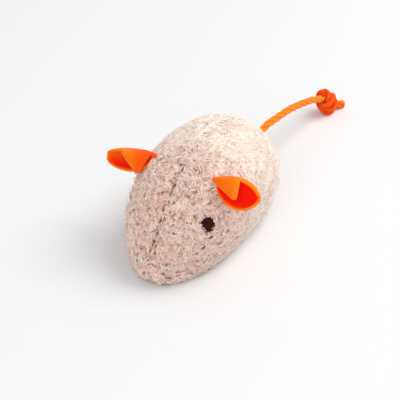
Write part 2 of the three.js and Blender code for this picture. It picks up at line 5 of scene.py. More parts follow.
import bpy
import numpy as np
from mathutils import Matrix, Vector


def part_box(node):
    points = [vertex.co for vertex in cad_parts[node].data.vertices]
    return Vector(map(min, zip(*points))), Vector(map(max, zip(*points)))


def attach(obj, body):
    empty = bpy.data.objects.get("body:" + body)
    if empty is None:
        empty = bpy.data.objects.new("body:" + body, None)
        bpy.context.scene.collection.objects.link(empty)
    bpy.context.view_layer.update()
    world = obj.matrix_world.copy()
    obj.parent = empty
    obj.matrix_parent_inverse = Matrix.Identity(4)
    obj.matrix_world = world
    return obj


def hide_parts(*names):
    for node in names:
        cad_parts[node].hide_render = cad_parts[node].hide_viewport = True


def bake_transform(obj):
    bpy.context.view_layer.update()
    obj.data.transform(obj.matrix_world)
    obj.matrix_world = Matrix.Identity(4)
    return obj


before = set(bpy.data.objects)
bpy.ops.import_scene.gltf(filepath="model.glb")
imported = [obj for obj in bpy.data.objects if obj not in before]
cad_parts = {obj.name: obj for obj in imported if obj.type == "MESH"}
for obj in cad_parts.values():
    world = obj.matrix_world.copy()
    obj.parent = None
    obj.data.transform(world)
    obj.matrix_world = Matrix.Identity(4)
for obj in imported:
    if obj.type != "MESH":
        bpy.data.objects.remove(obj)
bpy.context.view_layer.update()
SEED = 11
rng = np.random.default_rng(SEED)

# Lengths are in millimetres and angles in degrees, where nothing else is said.
MM = 0.001
FLOOR_GAP = 0.05  # nothing reaches lower

# Body form
BODY_LENGTH = 78.0
BODY_WIDTH = 49.4
BODY_HEIGHT = 45.0
WIDEST_Y = 6.0
HIGHEST_Y = 2.0
SNOUT_HEIGHT = 9.0
RUMP_HEIGHT = 20.0
TIP_WIDTH = 3.0
CHIN = (8.0, 3.5)  # length and rise
HAUNCH = (12.0, 8.0)  # length and rise
WIDEST_LEVEL = 0.52  # share of the height
FOOTPRINT = 0.62  # share of the width
# Flatness and roundness of each end, from above and from the side
SNOUT_PLAN = (2.4, 1.75)
RUMP_PLAN = (3.0, 2.5)
SNOUT_PROFILE = (1.7, 1.35)
RUMP_PROFILE = (3.4, 2.4)
# Grid of one side
ROWS, COLUMNS = 120, 84
SEAM_LEVEL = 2.6  # top of the base panel
PILE_LEVEL = 1.0  # the pile hangs over that seam
POLES = (37.5, 39.0)  # between these distances from the middle the normals turn to lie along the body
NORMAL_STEP = 0.4

# Centre seam
SEAM_DIP = 1.0
SEAM_SPREAD = 1.5
SEAM_ANGLES = (-20.0, 20.0)  # the dip begins between these
SEAM_SHADE_WIDTH = 0.7  # half the width of the darker backing, painted shade in the groove of the seam
SEAM_OPEN = 0.85  # half the width of the groove where it is widest
SEAM_CLOSED = -1.2  # the pile may pass the middle by this where the groove is closed
SEAM_WAVES = ((0.9, 0.0), (1.7, 1.0), (0.37, 2.0))  # rates and starts of the waves that open the groove
SEAM_OPENING = (-2.6, 0.2)  # sums of those waves from closed to open
SEAM_FADE = ((-38.0, -35.5, -12.0, 0.0), (0.0, 1.0, 0.9, 0.0))  # places along the body and shares
SEAM_EASE = 0.35
SEAM_WANDER = ((0.35, 0.55), (0.2, 1.3))  # swings and rates of its way from side to side
SEAM_PLAY = 0.1
SEAM_CROSSED = (0.065, 1.0)  # share of the strands that cross the groove, and how far

# Darts, and the plush round the sewn edge of an ear
DART_Y = -12.2
DART_DIP = 0.9
DART_SPREAD = 1.3
DART_ANGLES = (58.0, 66.0)  # a dart begins between these
EAR_SWELL = 1.3
EAR_SWELL_SPREAD = (5.0, 9.0)  # along the body, and in degrees round it
EAR_ANGLE = 56.0

# Plush
BACKING_DEPTH = 1.3  # from the outline of the pile down to the backing
BACKING = 0.8
PILE_HEIGHT = 1.15
PILE_BANDS = 7
COMBED = (-16.0, 4.0)  # the pile curls in front of the first and lies to the tail behind the second
LOCKS_PER_MM2 = 1.1
STRANDS_PER_LOCK = 4
CLOTH_SHADING = 0.45
# Locks of curled pile: the least and the most, with angles in radians
LOCK_CURL = (0.8, 3.8)
LOCK_SWING = (0.5, 1.4)
LOCK_CYCLES = (0.7, 1.3)
LOCK_LENGTH = (2.8, 4.4)
LOCK_HEIGHT = (0.75, 1.25)  # shares of the height of the pile
# The lighter locks stand taller and the darker lower: partly tone that differs at random, partly
# painted highlight on top of the pile and painted shade below it
LIGHT_SHARE = 0.42
LIGHT_HEIGHT, DARK_HEIGHT = 1.2, 0.85
LIGHT_TONE, DARK_TONE, TONE_PLAY = 0.68, 0.32, 0.15
# Locks of combed pile, as shares of the curled ones
COMBED_CURL = 0.25
COMBED_SWING = 0.3
COMBED_LENGTH = 1.2
COMBED_HEIGHT = 0.75
# Painted light: the combed pile over the back is lighter
BACK_LIT_TONE, COMBED_TONE_PLAY = 0.76, 0.24
COMBED_PLAY = 0.5  # in the heading, in radians
# Strands of one lock differ from it by these
STRAND_SPREAD = (0.22, 0.5)  # in curled and in combed pile
STRAND_HEADING = 0.16
STRAND_CURL = (0.88, 1.12)
STRAND_LENGTH = (0.85, 1.1)
STRAND_HEIGHT = (0.8, 1.15)
STRAND_THICKNESS = (0.8, 1.2)
STRAND_TONE = 0.08
LOOSE_SHARE = 0.05
LOOSE_HEIGHT, LOOSE_THICKNESS = 1.8, 0.6
# Form of a strand
STRAND = 0.18  # half its thickness
STRAND_STEPS, STRAND_SIDES = 9, 3
STRAND_TAPER = ((0.0, 0.2, 0.75, 1.0), (0.7, 1.0, 1.0, 0.35))  # places along it and shares of thickness
STRAND_EASE = 0.8  # it turns more near its root
STRAND_DROOP = 0.3  # share of the height that its tip loses
STRAND_TIP = 0.62  # place along it where the colour of the tip begins; towards the root the colour darkens as painted shade
# Map of a strand: bands of tone, and places of the corners of its faces and ends
TONES = 64
FACE_V = (0.05, 0.05, 0.95, 0.95)
END_U = ((0.0, 0.0, 0.03), (1.0, 1.0, 0.97))
END_V = (0.2, 0.8, 0.5)

# Base
BASE_ROWS, BASE_COLUMNS = 70, 40
BASE_INSET = 0.02  # radians from each end of the body
BASE_REACH = 1.12  # share of the footprint
BASE_RISE, BASE_ROUNDNESS = 1.6, 6  # the edge turns up
BASE_DEPTH = 1.5
BASE_DENSITY = 0.6
BASE_PILE_HEIGHT = 1.1
BASE_BANDS = 2

# Ears: felt petals, cupped, with the front part folded over from the top edge as a flap
FELT = 1.2
EAR_STANDOFF = 1.2  # from the body form to the edge of the free felt
EAR_ROWS, EAR_COLUMNS = 76, 19
FLAP_ROWS, FLAP_COLUMNS = 18, 12
EAR_TAB = (5.5, 4.0, 2.6, 1.2)  # depths of the sewn edge
EAR_TAB_LEAN = np.array([0.0, -0.6, 0.0])
EAR_BACK = np.array([0.25, 1.0, 0.1])  # the way that the cup bulges
EAR_LIP = np.array([0.0, -0.3, 0.0])
EAR_FOLD = np.array([0.0, -2.4, 1.2])
FOLD_REACH = 4.0  # a flap at least this long has the whole fold
CUP_PEAK, CUP_ALONG, CUP_ACROSS = 0.8, 0.8, 0.7  # powers in the depth of the cup
# Where the felt is painted redder and darker, as shade inside the cup and near the seam
RED_RIM = (0.0, 0.7, 1.0)  # in the first three columns from the lower rim of the cup
RED_FOLD = (3, 0.3)  # columns before the top edge where it begins to fade, and what is left there
UPPER_WALL = (0.15, 0.55)  # shares across the cup
TOWARDS_TIP = (0.6, 0.9)  # shares along the ear, and so are the next two
AT_TIP = (0.93, 1.0)
NEAR_SEAM = (0.05, 0.5)
# Each petal lies between two curves that meet at its tip, with two handles each, and it stops at end,
# a share of its curves. The seam is given by its y and the angles of its ends. All other places are
# from the sewn edge: outwards, back and up. The flap begins and ends on the top curve, at the first
# and last of flap_at. Where lit is more, the upper wall gets less painted shade, and where red is more,
# the felt near the seam gets more painted shade, redder.
EARS = {
    "left_ear": dict(
        side=1, seam_y=-12.0, seam=(57.0, 52.5), stand=1.0, cup=5.0, lit=0.0, red=0.3, end=0.97,
        tip=(19.6, 1.7, -3.0),
        top=((9.0, 1.2, 4.3), (15.2, 3.4, 2.8)), low=((3.8, -4.8, -7.6), (15.6, -3.4, -11.9)),
        flap_tip=((11.0, -4.6, -2.5), (12.4, -4.2, -2.3)), flap_at=(0.0, 0.37, 0.42, 0.45)),
    "right_ear": dict(
        side=-1, seam_y=-10.4, seam=(56.0, 53.0), stand=1.2, cup=5.0, lit=0.6, red=0.7, end=0.85,
        tip=(20.4, -1.8, -4.2),
        top=((5.5, -0.2, 2.0), (24.4, -0.6, -0.5)), low=((-0.1, -8.5, -7.3), (23.2, -4.5, -6.4)),
        flap_tip=((3.0, -6.4, -3.5), (4.6, -6.2, -4.1)), flap_at=(0.1, 0.26, 0.36, 0.53)),
}

# Eyes: rows of dark thread sewn side by side
EYE_WIDTH = 5.6
# Side, y, angle and depth
EYES = {"left_eye": (1, -22.3, 28.6, 0.0), "right_eye": (-1, -20.8, 16.5, 0.8)}
EYE_CLEARING = (0.64, 0.2)  # share of the eye kept free of pile, and its loss per millimetre of depth
EYE_CLEARING_HEIGHT = 4.0
EYE_CROWN, EYE_SUNK = 0.6, 0.3
EYE_ROUNDNESS = 2.6
STITCHES = 13
STITCH = 0.26  # half the thickness of the thread
STITCH_STEPS, STITCH_SIDES = 11, 6
STITCH_REACH = 0.93  # share of the half width at which the outer rows lie
STITCH_LENGTHS = (0.72, 1.1)

# Rope
ROPE = 3.4
ROPE_PITCH = 16.0
ROPE_STEP = 0.28
ROPE_SIDES = 42
LOBES = 3
LOBE = 0.64  # size of each laid strand as a share of the rope
YARNS, YARN_TURN = 9, 5.0  # rates of the yarns across a laid strand and along it
CURVE_STEPS = 24  # between two points of a smooth curve
CUT_STEP = 0.2

# Tail
TAIL_EXIT = np.array([0.0, 41.0, 15.5])
TAIL_ROUTE = np.array([
    [0, 0, 0], [0.1, 4, 2.6], [0.2, 8, 4.7], [0.35, 12, 6.1], [0.5, 16.5, 6.6], [0.65, 21.5, 6.1],
    [0.8, 26.5, 5.5], [1, 32, 4.9], [1.15, 37.5, 4.1], [1.3, 43, 2.8], [1.5, 48.5, 1.4],
    [1.65, 54, -0.2], [1.8, 59.5, -2], [1.95, 65, -4.2], [2.1, 70, -6.4],
]) + TAIL_EXIT
ROPE_SUNK = 9.0
ROOT_REACH = 5.0  # the root of the rope, which bends at the rump, reaches this far out
KNOT_SPACING = 3.1
KNOT_ROPE = 3.75
KNOT_GAP = 0.3  # from the end of the route to the start of the knot
KNOT_LAY = 71.0  # place along the rope at which the lay of the knot starts
# Painted shade in the knot: shares along the knot rope where it is darker and redder
KNOT_SHADE = (0, 0.5, 1, 1, 1, 1, 1, 1, 0.7, 0.2)
KNOT_PULL = np.array([0.92, 1.0, 0.86])  # the knot is drawn tight
KNOT_TILT = np.array([-0.5, 0.1, 0.86])
KNOT_HALF = np.array([
    [0, 0, -1.15], [-0.14, 1.1, -0.85], [-0.3, 1.52, 0.1], [-0.5, 1, 0.98], [-0.85, 0.1, 1.22],
    [-1.25, -0.6, 0.9], [-1.42, -0.8, 0.25], [-1, -0.66, -0.2], [-0.3, -0.52, -0.1], [0.7, -0.5, 0],
    [1.5, -0.5, 0],
])
STUB = 6.0
STUB_STEPS = 12
STUB_FLARE, FLARE_LENGTH = 0.16, 2.4  # the cut end opens a little
STUB_BEND = np.array([4.3, 0.4, 1.1])

# Inner pieces
FIBRE_VOXEL = 1.1
FIBRE_LUMP, FIBRE_SUNK = 1.6, 0.9
POUCH_ROWS, POUCH_COLUMNS = 45, 72
POUCH_END = 88.0
POUCH_ROUNDNESS = 0.62
POUCH_RIM = 0.05  # radians
POUCH_FILL, POUCH_LEAF = 0.97, 0.03
LEAF_LUMP = 1.3

# Stage, with places and sizes of lamps in metres
FLOOR_REACH = 2000
FLOOR_COLOUR = (0.825, 0.825, 0.83, 1)
WORLD_COLOUR = (0.95, 0.975, 1.0, 1)
WORLD_STRENGTH = 0.53
BACKDROP_COLOUR = (0.96, 0.96, 0.965, 1)
LAMP_AIM = (0, 0, 0.02)
# Size, place, power and colour
LAMPS = {
    "key": (1.0, (0.5, 0.6, 0.95), 10.4, (1.0, 0.985, 0.965)),
    "fill": (0.9, (0.25, -0.85, 0.8), 4.9, (1.0, 0.97, 0.95)),
}
CAMERA_AIM = (2.01, -2.60, 18.89)
CAMERA_AZIMUTH, CAMERA_ELEVATION = 30.7, 35.3
CAMERA_DISTANCE = 0.449  # metres
CAMERA_SENSOR, CAMERA_LENS = 36.0, 100.2
CAMERA_NEAR = 0.01  # metres


def lerp(a, b, t):
    return a + (b - a) * t


def smoothstep(x, low, high):
    t = np.clip((x - low) / (high - low), 0, 1)
    return t * t * (3 - 2 * t)


def unit(v):
    return v / np.maximum(np.linalg.norm(v, axis=-1, keepdims=True), 1e-12)


# Meshes
def mesh_piece(name, points_mm, faces, material):
    mesh = bpy.data.meshes.new(name)
    mesh.from_pydata((np.asarray(points_mm) * MM).tolist(), [], [list(map(int, f)) for f in faces])
    mesh.polygons.foreach_set("use_smooth", np.full(len(mesh.polygons), True))
    mesh.materials.append(material)
    mesh.update()
    piece = bpy.data.objects.new(name, mesh)
    bpy.context.scene.collection.objects.link(piece)
    return piece


def add_values(piece, name, values):
    attribute = piece.data.attributes.new(name, "FLOAT", "POINT")
    attribute.data.foreach_set("value", np.asarray(values, np.float32).ravel())


def grid_faces(rows, columns, around=False):
    spans = columns if around else columns - 1
    r, c = np.meshgrid(np.arange(rows - 1), np.arange(spans), indexing="ij")
    r, c = r.ravel(), c.ravel()
    d = (c + 1) % columns
    return np.stack([r * columns + c, (r + 1) * columns + c, (r + 1) * columns + d, r * columns + d], 1)


# A closed tube over rings of points, with a point in the middle of each end
def tube_mesh(rings):
    rows, columns = rings.shape[:2]
    points = rings.reshape(-1, 3)
    first, last = rows * columns, rows * columns + 1
    points = np.vstack([points, rings[0].mean(0), rings[-1].mean(0)])
    faces = grid_faces(rows, columns, around=True)[:, ::-1].tolist()
    base = (rows - 1) * columns
    for i in range(columns):
        j = (i + 1) % columns
        faces.append([first, i, j])
        faces.append([last, base + j, base + i])
    return points, faces


# A closed sheet between two grids of points
def shell(name, outer, inner, material):
    rows, columns = outer.shape[:2]
    count = rows * columns
    faces = grid_faces(rows, columns)
    index = np.arange(count).reshape(rows, columns)
    rim = np.concatenate([index[:, 0], index[-1, 1:], index[-2::-1, -1], index[0, -2:0:-1]])
    after = np.roll(rim, -1)
    sides = np.stack([rim, after, after + count, rim + count], 1)
    points = np.vstack([outer.reshape(-1, 3), inner.reshape(-1, 3)])
    everything = np.vstack([faces, faces[:, ::-1] + count, sides[:, ::-1]])
    return mesh_piece(name, points, everything, material)


# Materials
# Linear light of a screen colour from 0 to 255
def linear(red, green, blue):
    shares = [value / 255 for value in (red, green, blue)]
    return tuple(((s + 0.055) / 1.055) ** 2.4 if s > 0.04 else s / 12.92 for s in shares)


class Look:
    """A material with one principled shader and short calls for its nodes."""

    def __init__(self, name, roughness, sheen=0.0, specular=0.1):
        self.material = bpy.data.materials.new(name)
        self.material.use_nodes = True
        self.nodes = self.material.node_tree.nodes
        self.links = self.material.node_tree.links
        self.shader = self.nodes["Principled BSDF"]
        self.shader.inputs["Roughness"].default_value = roughness
        self.shader.inputs["Specular IOR Level"].default_value = specular
        self.shader.inputs["Sheen Weight"].default_value = sheen

    def node(self, kind, **values):
        made = self.nodes.new(kind)
        for key, value in values.items():
            if hasattr(made, key):
                setattr(made, key, value)
            else:
                made.inputs[key].default_value = value
        return made

    def link(self, source, target):
        self.links.new(source, target)

    def attribute(self, name):
        return self.node("ShaderNodeAttribute", attribute_name=name).outputs["Fac"]

    def noise(self, scale, detail=3.0, roughness=0.6):
        place = self.node("ShaderNodeTexCoord").outputs["Object"]
        made = self.node("ShaderNodeTexNoise", Scale=scale, Detail=detail, Roughness=roughness)
        self.link(place, made.inputs["Vector"])
        return made.outputs["Fac"]

    # A mix node has sockets for every type of value, and those for colours are 6, 7 and 2.
    def mix(self, factor, a, b):
        made = self.node("ShaderNodeMix", data_type="RGBA")
        self.link(factor, made.inputs["Factor"])
        for socket, value in ((made.inputs[6], a), (made.inputs[7], b)):
            if isinstance(value, tuple):
                socket.default_value = (*value, 1.0)
            else:
                self.link(value, socket)
        return made.outputs[2]

    def spread(self, value, low, high):
        made = self.node("ShaderNodeMapRange")
        made.inputs["From Min"].default_value = low
        made.inputs["From Max"].default_value = high
        self.link(value, made.inputs["Value"])
        return made.outputs["Result"]

    def colour(self, socket):
        self.link(socket, self.shader.inputs["Base Color"])

    def bump(self, height, distance, strength=1.0):
        made = self.node("ShaderNodeBump", Distance=distance, Strength=strength)
        self.link(height, made.inputs["Height"])
        self.link(made.outputs["Normal"], self.shader.inputs["Normal"])


def plush_look():
    look = Look("plush_pile", roughness=0.95, sheen=0.3, specular=0.2)
    tone = look.attribute("tone")
    # Painted shade: each strand darkens towards its root, deep in the pile.
    root = look.mix(tone, linear(172, 108, 88), linear(246, 220, 206))
    tip = look.mix(tone, linear(241, 183, 163), linear(255, 244, 232))
    rise = look.spread(look.attribute("rise"), low=0.0, high=STRAND_TIP)
    look.colour(look.mix(rise, root, tip))
    return look.material


def backing_look():
    look = Look("plush_backing", roughness=1.0, specular=0.2)
    patches = look.spread(look.noise(scale=900.0), low=0.35, high=0.7)
    # Painted shade and painted light: the backing is darker at the front and lighter over the back.
    front = look.mix(patches, linear(206, 152, 132), linear(228, 188, 168))
    back = look.mix(patches, linear(238, 213, 197), linear(249, 234, 222))
    cloth = look.mix(look.attribute("combed_and_lit"), front, back)
    # Painted shade: the backing darkens along the centre seam, in its groove.
    look.colour(look.mix(look.attribute("seam"), cloth, linear(146, 88, 70)))
    look.bump(look.noise(scale=1600.0), distance=0.0004)
    return look.material


def felt_look():
    look = Look("felt", roughness=0.95, sheen=0.06)
    fibres = look.spread(look.noise(scale=2600.0, detail=4.0), low=0.3, high=0.7)
    open_side = look.mix(fibres, linear(255, 118, 2), linear(255, 146, 16))
    # Painted shade: the felt turns deep red inside the cup and near the seam.
    look.colour(look.mix(look.attribute("painted_felt_shade"), open_side, linear(255, 30, 0)))
    look.bump(look.noise(scale=3200.0, detail=4.0), distance=0.0002, strength=0.6)
    return look.material


def rope_look():
    look = Look("twisted_rope", roughness=0.9, sheen=0.08)
    yarn = look.node("ShaderNodeMath", operation="SINE")
    look.link(look.attribute("yarn"), yarn.inputs[0])
    yarns = look.spread(yarn.outputs[0], low=-1.0, high=1.0)
    lit = look.mix(yarns, linear(255, 128, 12), linear(255, 152, 34))
    # Painted shade: the grooves between the laid strands are darker.
    groove_shade = look.attribute("groove_shade")
    loose = look.mix(groove_shade, lit, linear(250, 110, 4))
    # Painted shade in the knot: darker and redder along it.
    knot_shade = look.mix(groove_shade, linear(250, 92, 4), linear(224, 50, 0))
    look.colour(look.mix(look.attribute("knot_shade"), loose, knot_shade))
    look.bump(yarns, distance=0.00012, strength=0.6)
    return look.material


def thread_look(name, dark, light, sheen=0.2):
    look = Look(name, roughness=0.7, sheen=sheen)
    strands = look.spread(look.noise(scale=2400.0), low=0.35, high=0.65)
    look.colour(look.mix(strands, dark, light))
    look.bump(look.noise(scale=5200.0), distance=0.0001, strength=0.5)
    return look.material


PLUSH = plush_look()
BACKING_CLOTH = backing_look()
FELT_CLOTH = felt_look()
ROPE_YARN = rope_look()
EYE_THREAD = thread_look("eye_thread", linear(30, 8, 7), linear(66, 26, 21), sheen=0.0)
SEWING_THREAD = thread_look("sewing_thread", linear(196, 172, 150), linear(226, 206, 186))
FIBRE = thread_look("fibre", linear(226, 224, 218), linear(248, 247, 243))
POUCH_CLOTH = thread_look("pouch_cloth", linear(96, 106, 62), linear(134, 142, 92))


# Body form
def along(y, peak, front, back):
    ahead = y < peak
    reach = np.where(ahead, peak + BODY_LENGTH / 2, BODY_LENGTH / 2 - peak)
    share = np.minimum(1, np.abs(y - peak) / reach)
    flatness = np.where(ahead, front[0], back[0])
    roundness = np.where(ahead, front[1], back[1])
    return (1 - share ** flatness) ** (1 / roundness)


def half_width(y):
    return lerp(TIP_WIDTH / 2, BODY_WIDTH / 2, along(y, WIDEST_Y, SNOUT_PLAN, RUMP_PLAN))


def top(y):
    end = np.where(y < HIGHEST_Y, SNOUT_HEIGHT, RUMP_HEIGHT)
    return lerp(end, BODY_HEIGHT, along(y, HIGHEST_Y, SNOUT_PROFILE, RUMP_PROFILE))


def floor_height(y):
    length = np.where(y < 0, CHIN[0], HAUNCH[0])
    rise = np.where(y < 0, CHIN[1], HAUNCH[1])
    into = np.clip((np.abs(y) - BODY_LENGTH / 2 + length) / length, 0, 1)
    return rise * (1 - np.sqrt(1 - into ** 2))


def level(y):
    return lerp(floor_height(y), top(y), WIDEST_LEVEL)


# The left side at an angle from -90 degrees, at the floor, by 0 at the widest level to 90 at the ridge
def side_point(y, angle, offset=0.0):
    y, angle = np.broadcast_arrays(np.asarray(y, float), np.radians(angle))
    width, low, middle, high = half_width(y), floor_height(y), level(y), top(y)
    c, s = np.cos(angle), np.sin(angle)
    x = np.where(angle < 0, width * lerp(FOOTPRINT, 1, c), width * c)
    z = np.where(angle < 0, middle + (middle - low) * s, middle + (high - middle) * s)
    drop = np.where(angle < 0, middle - low, high - middle)
    out = unit(np.stack([drop * c, width * s], -1))
    return np.stack([x + offset * out[..., 0], y, z + offset * out[..., 1]], -1)


# The same with the dart, the swell at the ear and the drawn-in seam
def dipped(y, angle):
    dart = DART_DIP * np.exp(-(((y - DART_Y) / DART_SPREAD) ** 2)) * smoothstep(angle, *DART_ANGLES)
    swell = EAR_SWELL * np.exp(-((y - DART_Y) / EAR_SWELL_SPREAD[0]) ** 2
                               - ((angle - EAR_ANGLE) / EAR_SWELL_SPREAD[1]) ** 2)
    points = side_point(y, angle, swell - dart)
    near_seam = np.exp(-((points[..., 0] / SEAM_SPREAD) ** 2)) * smoothstep(angle, *SEAM_ANGLES)
    points[..., 2] -= SEAM_DIP * near_seam
    return points


def side_normal(y, angle):
    forward = side_point(y + NORMAL_STEP, angle) - side_point(y - NORMAL_STEP, angle)
    upward = side_point(y, angle + NORMAL_STEP) - side_point(y, angle - NORMAL_STEP)
    return unit(np.cross(forward, upward))


# Grid of the left side from the snout to the rump, with its outward normals
def side_grid(lowest):
    y = -BODY_LENGTH / 2 * np.cos(np.linspace(0, math.pi, ROWS))
    low = -np.degrees(np.arcsin(np.clip((level(y) - lowest) / (level(y) - floor_height(y)), 0, 1)))
    share = np.linspace(0, 1, COLUMNS)[None, :]
    angle = lerp(low[:, None], 90.0, share)
    points = dipped(np.repeat(y[:, None], COLUMNS, 1), angle)
    along_y = np.gradient(points, axis=0)
    along_a = np.gradient(points, axis=1)
    normals = unit(np.cross(along_y, along_a))
    ends = smoothstep(np.abs(points[..., 1]), *POLES)[..., None]
    pole = np.zeros_like(points)
    pole[..., 1] = np.sign(points[..., 1])
    return points, unit(lerp(normals, pole, ends))


def mirror_x(points, side):
    return points * np.array([side, 1.0, 1.0])


# Plush: locks of curled strands over a backing
def scatter(points, normals, density):
    a, b = points[:-1, :-1], points[1:, :-1]
    c, d = points[1:, 1:], points[:-1, 1:]
    first_half = np.linalg.norm(np.cross(b - a, d - a), axis=-1)
    second_half = np.linalg.norm(np.cross(b - c, d - c), axis=-1)
    area = (first_half + second_half) / 2
    total = np.cumsum(area.ravel())
    count = int(total[-1] * density)
    picks = (np.arange(count) + rng.random(count)) / count * total[-1]
    cells = np.searchsorted(total, picks).clip(0, len(total) - 1)
    row, column = np.unravel_index(cells, area.shape)
    u, v = rng.random(count)[:, None], rng.random(count)[:, None]

    def at(values):
        low = lerp(values[row, column], values[row + 1, column], u)
        high = lerp(values[row, column + 1], values[row + 1, column + 1], u)
        return lerp(low, high, v)

    return at(points), unit(at(normals))


def tangents(normals):
    along_body = np.abs(normals[:, 1:2]) > 0.9
    up = np.where(along_body, np.array([[0.0, 0.0, 1.0]]), np.array([[0.0, 1.0, 0.0]]))
    first = unit(np.cross(up, normals))
    return first, np.cross(normals, first)


# Middle lines of curled strands, which rise from the backing, lie over and turn in the plane of the
# cloth. Each strand has a steady turn and a wave with its own swing, number of cycles and start.
def curls(roots, normals, heading, curl, wave, length, height):
    first, second = tangents(normals)
    share = np.linspace(0, 1, STRAND_STEPS)
    swing, cycles, start = wave.T[..., None]
    turn = (heading[:, None] + curl[:, None] * share ** STRAND_EASE
            + swing * np.sin(2 * math.pi * (cycles * share + start)))
    step = length[:, None] / (STRAND_STEPS - 1)
    flat_x = np.cumsum(np.cos(turn) * step, 1) - np.cos(turn[:, :1]) * step
    flat_y = np.cumsum(np.sin(turn) * step, 1) - np.sin(turn[:, :1]) * step
    risen = np.sin(np.minimum(1, share * 2) * math.pi / 2)
    lift = height[:, None] * risen * (1 - STRAND_DROOP * share ** 2)
    return (roots[:, None] + first[:, None] * flat_x[..., None] + second[:, None] * flat_y[..., None]
            + normals[:, None] * lift[..., None])


# Thin closed tubes round those lines
def strand_mesh(name, centre, normals, thickness, tone, cloth_shading):
    count = len(centre)
    share = np.linspace(0, 1, STRAND_STEPS)
    aim = unit(np.gradient(centre, axis=1))
    side = unit(np.cross(aim, normals[:, None]))
    above = np.cross(side, aim)
    radius = thickness[:, None] * np.interp(share, *STRAND_TAPER)[None, :]
    corners = math.pi / 2 + np.arange(STRAND_SIDES) * 2 * math.pi / STRAND_SIDES
    outward = np.stack([math.cos(a) * side + math.sin(a) * above for a in corners], 2)
    points = (centre[:, :, None] + radius[..., None, None] * outward).reshape(-1, 3)
    points[:, 2] = np.maximum(points[:, 2], FLOOR_GAP)
    ring = grid_faces(STRAND_STEPS, STRAND_SIDES, around=True)
    last = (STRAND_STEPS - 1) * STRAND_SIDES
    ends = np.array([[0, 1, 2], [last + 2, last + 1, last]])
    size = STRAND_STEPS * STRAND_SIDES
    offset = np.arange(count)[:, None, None] * size
    faces = [*(ring[None] + offset).reshape(-1, 4), *(ends[None] + offset).reshape(-1, 3)]
    piece = mesh_piece(name, points, faces, PLUSH)
    # Fibres pass light on, so each strand is shaded partly as the cloth that it lies on.
    soft = unit(lerp(outward, normals[:, None, None], cloth_shading)).reshape(-1, 3)
    piece.data.normals_split_custom_set_from_vertices(soft.tolist())
    add_values(piece, "rise", np.tile(np.repeat(share, STRAND_SIDES), count))
    band = np.floor(tone * (TONES - 1))
    add_values(piece, "tone", np.repeat(band / (TONES - 1), size))

    # The look depends on the place along a strand and on its tone, so those two are its map.
    u = np.broadcast_to(ring // STRAND_SIDES / (STRAND_STEPS - 1), (count, *ring.shape))
    v = np.broadcast_to((band[:, None, None] + np.array(FACE_V)) / TONES, (count, *ring.shape))
    end_u = np.broadcast_to(np.array(END_U), (count, *ends.shape))
    end_v = np.broadcast_to((band[:, None, None] + np.array(END_V)) / TONES, (count, *ends.shape))
    tubes = np.stack([u, v], -1).reshape(-1, 2)
    caps = np.stack([end_u, end_v], -1).reshape(-1, 2)
    layer = piece.data.uv_layers.new(name="OFBake")
    layer.data.foreach_set("uv", np.concatenate([tubes, caps]).astype(np.float32).ravel())
    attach(piece, "body")


# Strands that would lie over an eye
def near_eye(centre):
    hidden = np.zeros(len(centre), bool)
    for side, y, angle, depth in EYES.values():
        middle, normal = eye_place(side, y, angle, depth)
        away = centre - middle
        height = away @ normal
        flat = np.linalg.norm(away - height[..., None] * normal, axis=-1)
        clearing = EYE_WIDTH / 2 * (EYE_CLEARING[0] - EYE_CLEARING[1] * depth)
        hidden |= ((flat < clearing) & (np.abs(height) < EYE_CLEARING_HEIGHT)).any(1)
    return hidden


# The pile stops at the centre seam, whose groove opens and closes along the body and fades over the
# back and at the tip of the snout.
def kept_off_seam(centre, side, play):
    y = centre[..., 1]
    wave = sum(np.sin(y * rate + start) for rate, start in SEAM_WAVES)
    opened = smoothstep(wave, *SEAM_OPENING) * np.interp(y, *SEAM_FADE)
    limit = lerp(SEAM_CLOSED, SEAM_OPEN, opened ** SEAM_EASE) + play[:, None]
    middle = sum(swing * np.sin(y * rate) for swing, rate in SEAM_WANDER)
    on_top = centre[..., 2] > level(y)
    away = (centre[..., 0] - middle) * side
    away = np.where(on_top, np.maximum(away, limit), away)
    return np.stack([away * side + middle, y, centre[..., 2]], -1)


# Share of the pile that is combed towards the tail; it also carries the painted light that makes the
# back lighter and the front darker
def combed_and_lit(y):
    return smoothstep(y, *COMBED)


